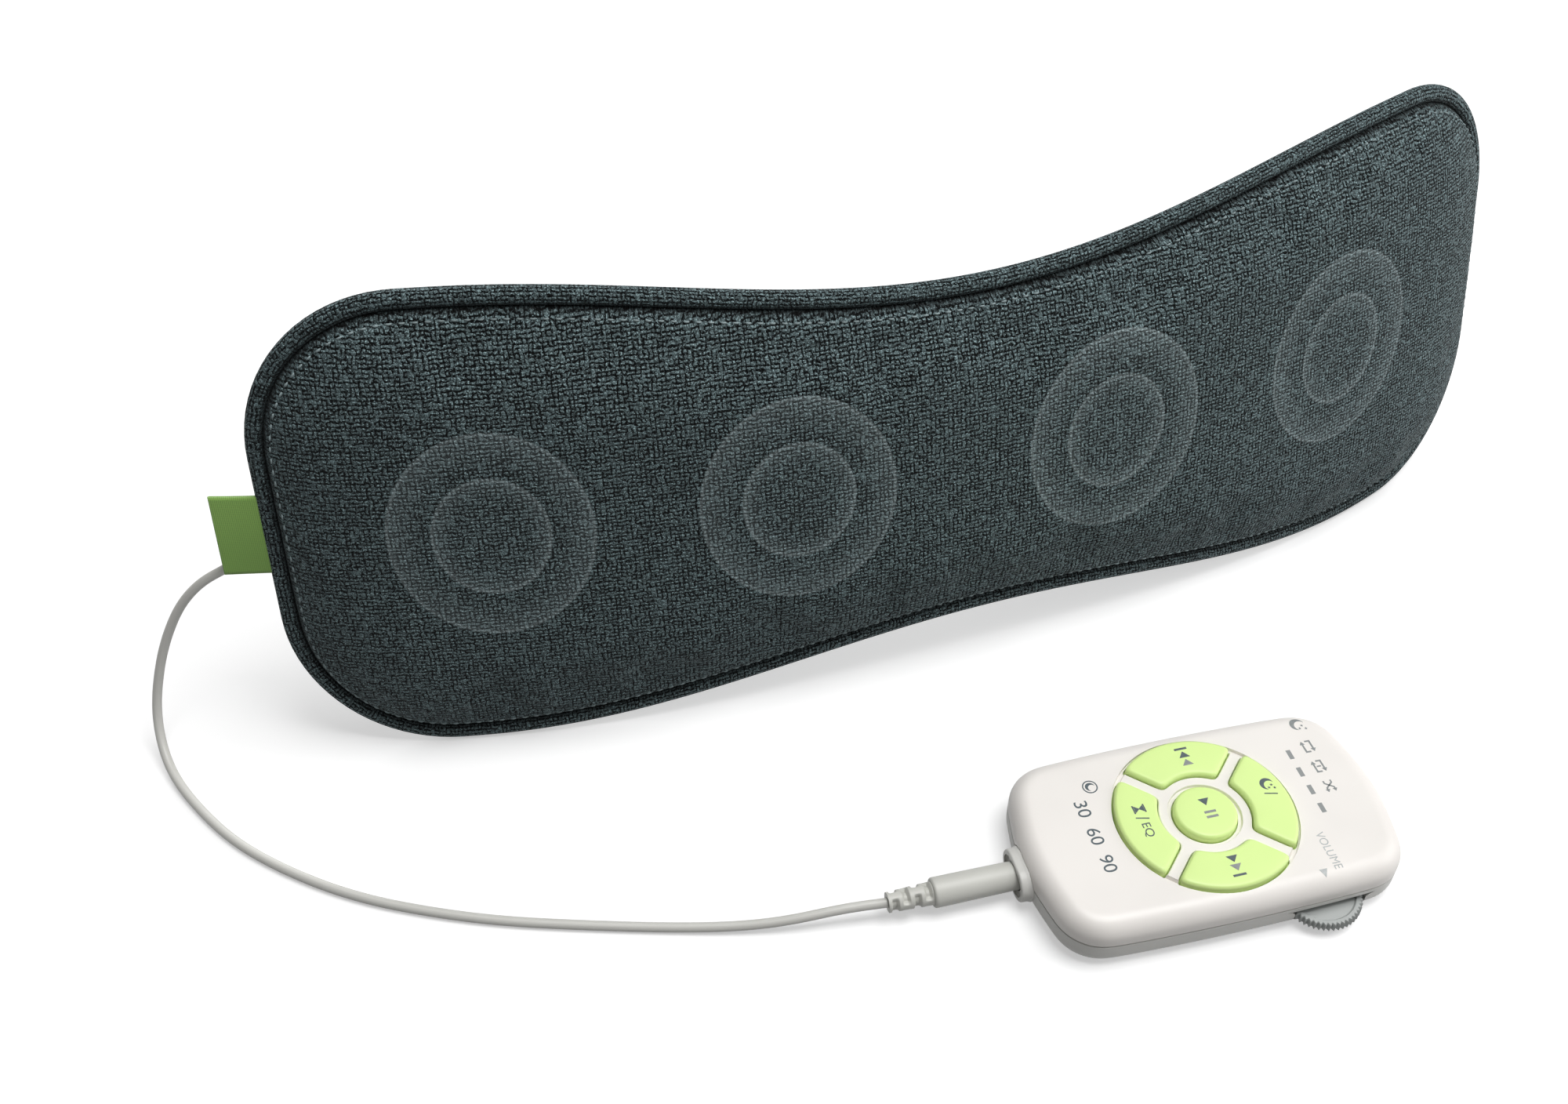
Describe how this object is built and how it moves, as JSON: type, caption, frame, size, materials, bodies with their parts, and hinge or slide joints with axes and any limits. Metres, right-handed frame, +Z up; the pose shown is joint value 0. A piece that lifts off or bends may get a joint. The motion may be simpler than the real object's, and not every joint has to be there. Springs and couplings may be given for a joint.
{
  "type": "sleep headphones",
  "caption": "Flexible padded fabric speaker for use under a pillow, with flat speakers inside and a corded hand remote with round keys and a volume wheel.",
  "frame": {"origin": "on the table, under the middle of the box around the pad and the remote", "axes": "+X along the pad from the tag end, +Y from the remote towards the pad, +Z up"},
  "size_m": [0.3356, 0.1863, 0.1132],
  "materials": {
    "cover_fabric": "coarse basket weave",
    "welt_fabric": "coarse basket weave, turned and stitched",
    "foam": "open-cell foam",
    "tag_ribbon": "satin ribbon",
    "cord_plastic": "satin",
    "wire_plastic": "satin",
    "cream_plastic": "satin moulded",
    "grey_plastic": "satin moulded",
    "lime_plastic": "satin moulded",
    "wheel_plastic": "satin moulded",
    "black_plastic": "moulded",
    "port_metal": "plated",
    "board": "lacquered board",
    "battery_foil": "foil pouch",
    "window_plastic": "diffusing",
    "pin_metal": "plated",
    "basket_metal": "black lacquer",
    "cone_film": "thin film"
  },
  "bodies": {
    "headphones": {"pad_front_cover": "cover_fabric", "pad_back_cover": "cover_fabric", "seam_welt": "welt_fabric", "foam_core": "foam", "label_tag": "tag_ribbon", "cord_gland": "cord_plastic", "speaker_basket_1": "basket_metal", "speaker_basket_2": "basket_metal", "speaker_basket_3": "basket_metal", "speaker_basket_4": "basket_metal", "speaker_magnet_1": "port_metal", "speaker_magnet_2": "port_metal", "speaker_magnet_3": "port_metal", "speaker_magnet_4": "port_metal", "speaker_cone_1": "cone_film", "speaker_cone_2": "cone_film", "speaker_cone_3": "cone_film", "speaker_cone_4": "cone_film", "speaker_wiring": "wire_plastic", "remote_upper_shell": "cream_plastic", "remote_lower_shell": "grey_plastic", "volume_pot": "black_plastic", "plug_socket": "black_plastic", "charging_port": "port_metal", "circuit_board": "board", "key_switches": "black_plastic", "battery": "battery_foil", "indicator_windows": "window_plastic", "shell_screws": "port_metal", "cord_lead": "cord_plastic", "plug_grip": "cord_plastic", "strain_relief": "cord_plastic", "plug_pin": "pin_metal"},
    "previous_key": {"key_previous": "lime_plastic"},
    "next_key": {"key_next": "lime_plastic"},
    "play_key": {"key_play": "lime_plastic"},
    "timer_key": {"key_timer": "lime_plastic"},
    "sleep_key": {"key_sleep": "lime_plastic"},
    "volume_dial": {"volume_wheel": "wheel_plastic"}
  },
  "joints": [
    {"name": "previous_press", "type": "slide", "parent": "headphones", "child": "previous_key", "axis": [0, 0, -1], "range_m": [0, 0.0006], "stiffness_N_per_m": 400, "springref_m": -0.0005},
    {"name": "next_press", "type": "slide", "parent": "headphones", "child": "next_key", "axis": [0, 0, -1], "range_m": [0, 0.0006], "stiffness_N_per_m": 400, "springref_m": -0.0005},
    {"name": "play_press", "type": "slide", "parent": "headphones", "child": "play_key", "axis": [0, 0, -1], "range_m": [0, 0.0006], "stiffness_N_per_m": 400, "springref_m": -0.0005},
    {"name": "timer_press", "type": "slide", "parent": "headphones", "child": "timer_key", "axis": [0, 0, -1], "range_m": [0, 0.0006], "stiffness_N_per_m": 400, "springref_m": -0.0005},
    {"name": "sleep_press", "type": "slide", "parent": "headphones", "child": "sleep_key", "axis": [0, 0, -1], "range_m": [0, 0.0006], "stiffness_N_per_m": 400, "springref_m": -0.0005},
    {"name": "volume_turn", "type": "hinge", "parent": "headphones", "child": "volume_dial", "pos_m": [0.08542, -0.07708, 0.0033], "axis": [0, 0, 1], "range_deg": [-135, 135]}
  ]
}
